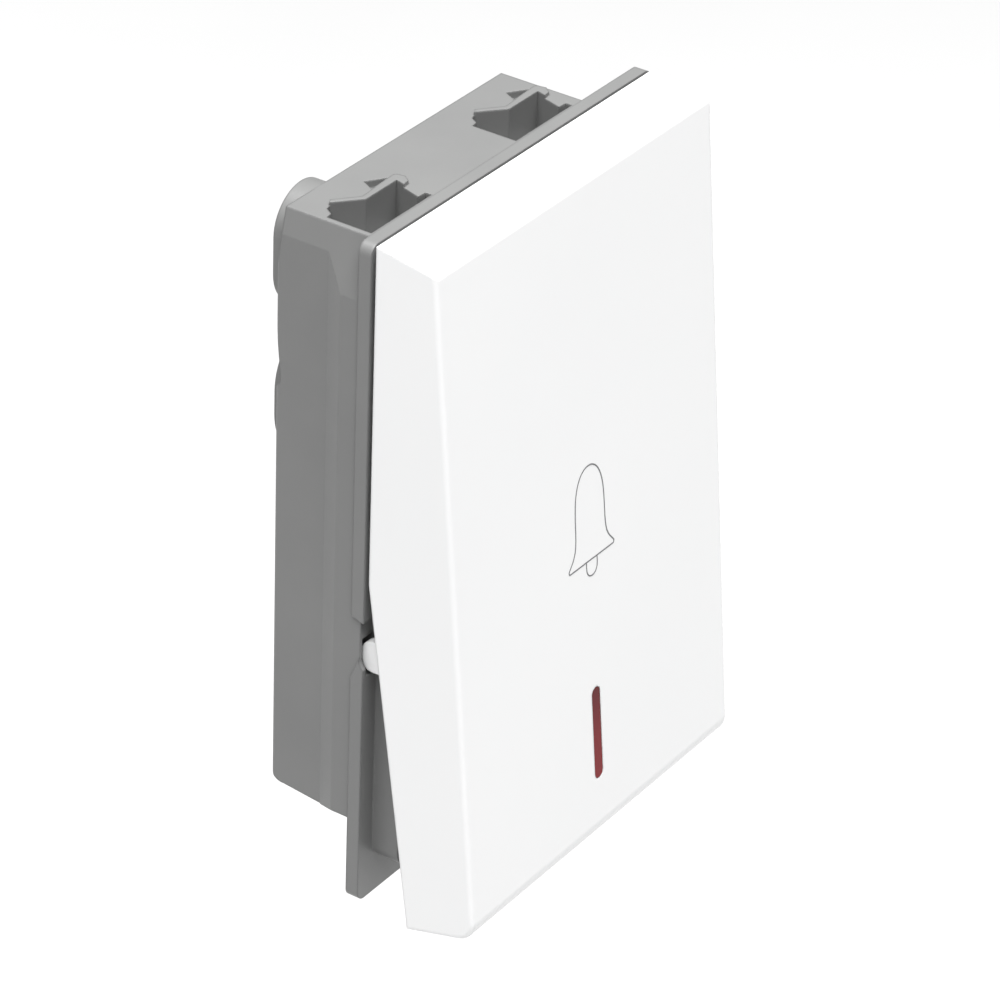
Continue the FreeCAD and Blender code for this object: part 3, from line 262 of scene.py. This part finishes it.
def ribbon(name, line, width, rise=0.00002, closed=False):
    """A flat printed line: a thin closed strip lying on the key's face."""
    n = len(line)
    verts, faces = [], []
    for i, (x, z) in enumerate(line):
        a = line[(i - 1) % n] if closed or i else line[i]
        b = line[(i + 1) % n] if closed or i < n - 1 else line[i]
        dx, dz = b[0] - a[0], b[1] - a[1]
        ln = math.hypot(dx, dz) or 1.0
        nx, nz = -dz / ln * width / 2, dx / ln * width / 2
        for sx, y in ((1, FACE - 0.00001), (-1, FACE - 0.00001), (-1, FACE + rise), (1, FACE + rise)):
            verts.append(ON_FACE @ Vector((x + sx * nx, -y, z + sx * nz)))
    for i in range(n if closed else n - 1):
        j = (i + 1) % n
        for c in range(4):
            d = (c + 1) % 4
            faces.append((4 * i + c, 4 * i + d, 4 * j + d, 4 * j + c))
    if not closed:
        faces.append((0, 1, 2, 3))
        e = 4 * (n - 1)
        faces.append((e + 3, e + 2, e + 1, e))
    me = bpy.data.meshes.new(name)
    me.from_pydata([tuple(v) for v in verts], [], faces)
    me.update()
    import bmesh
    bm = bmesh.new()
    bm.from_mesh(me)
    bmesh.ops.recalc_face_normals(bm, faces=bm.faces)
    bm.to_mesh(me)
    bm.free()
    o = bpy.data.objects.new(name, me)
    bpy.context.scene.collection.objects.link(o)
    o.data.materials.append(ink.mat)
    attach(o, "key")
    return o


mm = 0.001
# half outline from the crown down to the lip, about the symbol's own centre
HALF = [(0.0, 5.10), (0.55, 5.02), (1.15, 4.68), (1.62, 4.15), (1.98, 3.45), (2.24, 2.55),
        (2.38, 1.5), (2.44, 0.2), (2.46, -1.2), (2.52, -2.1), (2.68, -2.9), (3.02, -3.6),
        (3.42, -4.1), (3.72, -4.42)]
right = smooth(HALF, 6)
left = [(-x, z) for x, z in reversed(right)][:-1]
CX, CZ = -0.30, 0.0
dome = [((CX + x) * mm, (CZ + z) * mm) for x, z in left + right]
lip_r = smooth([(3.72, -4.42), (3.80, -4.62), (3.70, -4.84)], 4)
lip_l = [(-x, z) for x, z in reversed(lip_r)]
base = [((CX + x) * mm, (CZ + z) * mm) for x, z in
        ([dome_pt for dome_pt in lip_r] + [(t * 3.70 / 12, -4.84) for t in range(11, -12, -1)]
         + [p for p in lip_l])]
ribbon("bell_outline", dome + base[1:-1], 0.14 * mm, closed=True)
U = [(0.90, -4.92), (0.90, -5.45), (0.83, -5.95), (0.61, -6.32), (0.31, -6.51), (0.0, -6.56)]
ur = smooth(U, 5)
clap = [(-x, z) for x, z in ur][:-1] + list(reversed(ur))
ribbon("bell_clapper", [((CX + x) * mm, (CZ + z) * mm) for x, z in clap], 0.135 * mm)

# ------------------------------------------- springs, copied onto the base
def shortening(node):
    """A copy of a spring's mesh in spring wire, attached to the base, with the original part hidden.
    """
    o = bpy.data.objects.new(node + "_coils", bpy.data.objects[node].data.copy())
    bpy.context.scene.collection.objects.link(o)
    o.data.materials.clear()
    o.data.materials.append(spring_wire)
    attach(o, "base")
    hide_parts(node)
    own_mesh(o)


shortening("return_springs")
shortening("contact_spring")

# ------------------------------------------------------------- stage and light
low = CAD_BOX[0][2] if hasattr(CAD_BOX[0], "__len__") else CAD_BOX[2]
me = bpy.data.meshes.new("floor")
S, DROP = 3.0, 0.09
me.from_pydata([(-S, -S, low - DROP), (S, -S, low - DROP), (S, S, low - DROP),
                (-S, S, low - DROP)], [], [(0, 1, 2, 3)])
floor = bpy.data.objects.new("floor", me)
bpy.context.scene.collection.objects.link(floor)
f = Tree("pale_floor")
dust = f.noise(8.0, 3.0, 0.5)
f.link(f.ramp(dust, [(0.3, (0.52, 0.52, 0.52)), (0.7, (0.535, 0.535, 0.535))]),
       f.bsdf.inputs["Base Color"])
f.set(Roughness=0.9, Specular_IOR_Level=0.1)
me.materials.append(f.mat)


def softbox(name, at, aim, wide, high, watts, tint=(1.0, 1.0, 1.0)):
    d = bpy.data.lights.new(name, "AREA")
    d.shape = "RECTANGLE"
    d.size, d.size_y, d.energy, d.color = wide, high, watts, tint
    o = bpy.data.objects.new(name, d)
    bpy.context.scene.collection.objects.link(o)
    o.location = at
    o.rotation_euler = (Vector(aim) - Vector(at)).to_track_quat("-Z", "Y").to_euler()
    return o


softbox("top_box", (-0.15, -0.09, 1.10), (0, 0.02, 0), 1.03, 1.03, 40.0)
softbox("camera_side_box", (-0.55, -0.50, 0.45), (0, 0, 0), 0.5, 0.5, 0.5)

world = bpy.data.worlds.new("studio")
bpy.context.scene.world = world
world.use_nodes = True
wt = world.node_tree
bg = wt.nodes["Background"]
bg.inputs["Color"].default_value = (1.0, 1.0, 1.0, 1.0)
bg.inputs["Strength"].default_value = 0.14

# ----------------------------------------------------------------------- camera
AZ, EL, ROLL = (math.radians(v) for v in (-56.600, 31.4857, 2.2485))
back = Vector((math.sin(AZ) * math.cos(EL), -math.cos(AZ) * math.cos(EL), math.sin(EL)))
fwd = -back
xr = fwd.cross(Vector((0, 0, 1))).normalized()
yd = fwd.cross(xr)
c, s = math.cos(ROLL), math.sin(ROLL)
X = c * xr - s * yd
Y = s * xr + c * yd
t = Vector((0.7708, -12.3068, 447.182))
where = -(X * t[0] + Y * t[1] + fwd * t[2])
where.z += 13.05
cam = bpy.data.cameras.new("camera")
cam.sensor_width = 36.0
cam.lens = 4790.7 / 1000.0 * 36.0
cam.clip_start, cam.clip_end = 0.01, 20.0
cam.dof.use_dof = False
co = bpy.data.objects.new("camera", cam)
bpy.context.scene.collection.objects.link(co)
co.matrix_world = Matrix.Translation(where * mm) @ Matrix((
    (X[0], -Y[0], -fwd[0]), (X[1], -Y[1], -fwd[1]), (X[2], -Y[2], -fwd[2]))).to_4x4()
bpy.context.scene.camera = co
bpy.context.scene.view_settings.view_transform = "Standard"
